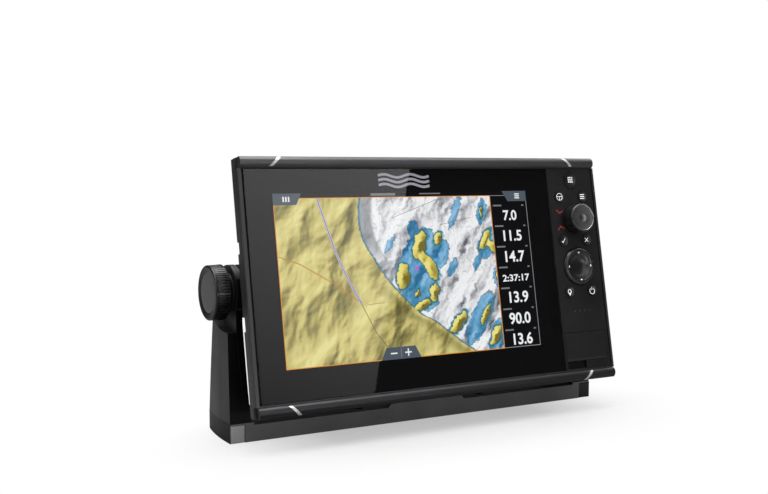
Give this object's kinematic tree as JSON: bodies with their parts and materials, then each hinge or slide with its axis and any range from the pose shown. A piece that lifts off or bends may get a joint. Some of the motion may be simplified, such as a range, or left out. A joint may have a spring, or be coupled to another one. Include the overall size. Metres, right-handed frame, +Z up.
{
  "type": "chartplotter display",
  "caption": "Marine chartplotter head with a wide glass-fronted screen, a keypad column with rotary dial and four-way pad, and a two-armed tilt bracket locked by side knobs.",
  "frame": {"origin": "centre of the bracket's screw pattern, on the surface it stands on", "axes": "+X to the right of someone facing the screen, -Y towards them, +Z up"},
  "size_m": [0.312, 0.0922, 0.1839],
  "materials": {
    "bracket_plastic": "fine-grained moulded plastic",
    "cap_gloss": "polished",
    "screw_steel": "stainless",
    "pad_rubber": "matt",
    "ratchet_nylon": "moulded",
    "knob_rubber": "fine ribs",
    "knob_disc": "satin",
    "nickel": "satin nickel",
    "brass": "turned",
    "bezel_plastic": "satin",
    "cover_glass": "polished",
    "mask_ink": "black print",
    "foam_black": "foam",
    "lcd": "lit screen",
    "tray_aluminium": "pressed sheet",
    "bar_satin": "black anodised",
    "inlay_silver": "brushed",
    "keypad_satin": "satin",
    "silicone": "moulded",
    "circuit_board": "solder mask",
    "key_plastic": "satin",
    "encoder_plastic": "moulded",
    "shaft_steel": "ground",
    "dial_cap": "turned and anodised",
    "housing_plastic": "fine-grained moulded plastic",
    "sink_aluminium": "black anodised",
    "plate_aluminium": "plain",
    "insert_plastic": "moulded",
    "contact_gold": "gold plated",
    "vent_plastic": "moulded"
  },
  "bodies": {
    "bracket": {"bracket_base": "bracket_plastic", "bracket_arm_left": "bracket_plastic", "bracket_arm_right": "bracket_plastic", "base_caps": "cap_gloss", "base_pads": "pad_rubber", "arm_screws": "screw_steel", "bracket_ratchets": "ratchet_nylon"},
    "head": {"front_frame": "bezel_plastic", "cover_glass": "cover_glass", "glass_mask": "mask_ink", "glass_gasket": "foam_black", "lcd_panel": "lcd", "lcd_chassis": "tray_aluminium", "trim_bars": "bar_satin", "trim_inlays": "inlay_silver", "keypad_panel": "keypad_satin", "keypad_mat": "silicone", "keypad_board": "circuit_board", "encoder_body": "encoder_plastic", "door_pin": "shaft_steel", "card_reader": "tray_aluminium", "rear_gasket": "foam_black", "rear_housing": "housing_plastic", "heat_sink": "sink_aluminium", "housing_screws": "screw_steel", "pivot_inserts": "brass", "pivot_ratchets": "ratchet_nylon", "main_board": "circuit_board", "heat_spreader": "plate_aluminium", "sonar_board": "circuit_board", "power_connector": "nickel", "network_connectors": "nickel", "sonar_connectors": "nickel", "connector_inserts": "insert_plastic", "connector_pins": "contact_gold", "service_cover": "silicone", "vent_plug": "vent_plastic"},
    "washer_left": {"knob_washer_left": "ratchet_nylon"},
    "washer_right": {"knob_washer_right": "ratchet_nylon"},
    "tilt_knob_left": {"knob_grip_left": "knob_rubber", "knob_cap_left": "knob_disc", "knob_stud_left": "screw_steel"},
    "tilt_knob_right": {"knob_grip_right": "knob_rubber", "knob_cap_right": "knob_disc", "knob_stud_right": "screw_steel"},
    "door": {"card_door": "keypad_satin", "door_seal": "silicone"},
    "dpad_cradle": {"dpad_gimbal": "encoder_plastic"},
    "dpad_top": {"dpad": "key_plastic"},
    "dial_plunger": {"encoder_plunger": "encoder_plastic"},
    "dial": {"encoder_shaft": "shaft_steel", "rotary_knob": "key_plastic", "rotary_cap": "dial_cap"},
    "button_helm": {"key_helm": "key_plastic"},
    "button_menu": {"key_menu": "key_plastic"},
    "button_enter": {"key_enter": "key_plastic"},
    "button_exit": {"key_exit": "key_plastic"},
    "button_mark": {"key_mark": "key_plastic"},
    "button_power": {"key_power": "key_plastic"},
    "button_pages": {"key_pages": "key_plastic"}
  },
  "joints": [
    {"name": "head_tilt", "type": "hinge", "parent": "bracket", "child": "head", "pos_m": [0, -0.0108, 0.0962], "axis": [-1, 0, 0], "range_deg": [-15, 25]},
    {"name": "knob_left_travel", "type": "slide", "parent": "head", "child": "washer_left", "axis": [-1, 0, 0], "range_m": [0, 0.003]},
    {"name": "knob_left_turn", "type": "hinge", "parent": "washer_left", "child": "tilt_knob_left", "pos_m": [-0.15, -0.0108, 0.0962], "axis": [-1, 0, 0], "range_deg": [0, 1083]},
    {"name": "knob_right_travel", "type": "slide", "parent": "head", "child": "washer_right", "axis": [1, 0, 0], "range_m": [0, 0.003]},
    {"name": "knob_right_turn", "type": "hinge", "parent": "washer_right", "child": "tilt_knob_right", "pos_m": [0.15, -0.0108, 0.0962], "axis": [1, 0, 0], "range_deg": [0, 1083]},
    {"name": "helm_press", "type": "slide", "parent": "head", "child": "button_helm", "axis": [0, 0.9829, -0.184], "range_m": [0, 0.0008], "stiffness_N_per_m": 1500, "springref_m": -0.0006},
    {"name": "menu_press", "type": "slide", "parent": "head", "child": "button_menu", "axis": [0, 0.9829, -0.184], "range_m": [0, 0.0008], "stiffness_N_per_m": 1500, "springref_m": -0.0006},
    {"name": "enter_press", "type": "slide", "parent": "head", "child": "button_enter", "axis": [0, 0.9829, -0.184], "range_m": [0, 0.0008], "stiffness_N_per_m": 1500, "springref_m": -0.0006},
    {"name": "exit_press", "type": "slide", "parent": "head", "child": "button_exit", "axis": [0, 0.9829, -0.184], "range_m": [0, 0.0008], "stiffness_N_per_m": 1500, "springref_m": -0.0006},
    {"name": "mark_press", "type": "slide", "parent": "head", "child": "button_mark", "axis": [0, 0.9829, -0.184], "range_m": [0, 0.0008], "stiffness_N_per_m": 1500, "springref_m": -0.0006},
    {"name": "power_press", "type": "slide", "parent": "head", "child": "button_power", "axis": [0, 0.9829, -0.184], "range_m": [0, 0.0008], "stiffness_N_per_m": 1500, "springref_m": -0.0006},
    {"name": "pages_press", "type": "slide", "parent": "head", "child": "button_pages", "axis": [0, 0.9829, -0.184], "range_m": [0, 0.0008], "stiffness_N_per_m": 1500, "springref_m": -0.0006},
    {"name": "dpad_rock_vertical", "type": "hinge", "parent": "head", "child": "dpad_cradle", "pos_m": [0.11985, -0.04547, 0.10391], "axis": [1, 0, 0], "range_deg": [-3, 3], "stiffness_Nm_per_rad": 0.6},
    {"name": "dpad_rock_sideways", "type": "hinge", "parent": "dpad_cradle", "child": "dpad_top", "pos_m": [0.11985, -0.04596, 0.104], "axis": [0, 0.184, 0.9829], "range_deg": [-3, 3], "stiffness_Nm_per_rad": 0.6},
    {"name": "dial_press", "type": "slide", "parent": "head", "child": "dial_plunger", "axis": [0, 0.9829, -0.184], "range_m": [0, 0.0008], "stiffness_N_per_m": 2000, "springref_m": -0.0005},
    {"name": "dial_turn", "type": "hinge", "parent": "dial_plunger", "child": "dial", "pos_m": [0.12055, -0.04554, 0.13943], "axis": [0, -0.9829, 0.184], "continuous": true},
    {"name": "card_door_open", "type": "hinge", "parent": "head", "child": "door", "pos_m": [0.1188, -0.05519, 0.05527], "axis": [-1, 0, 0], "range_deg": [0, 95]}
  ],
  "couplings": [
    {"joint": "knob_left_turn", "follows": "knob_left_travel", "rad_per_m": 6283.2},
    {"joint": "knob_right_turn", "follows": "knob_right_travel", "rad_per_m": 6283.2}
  ]
}
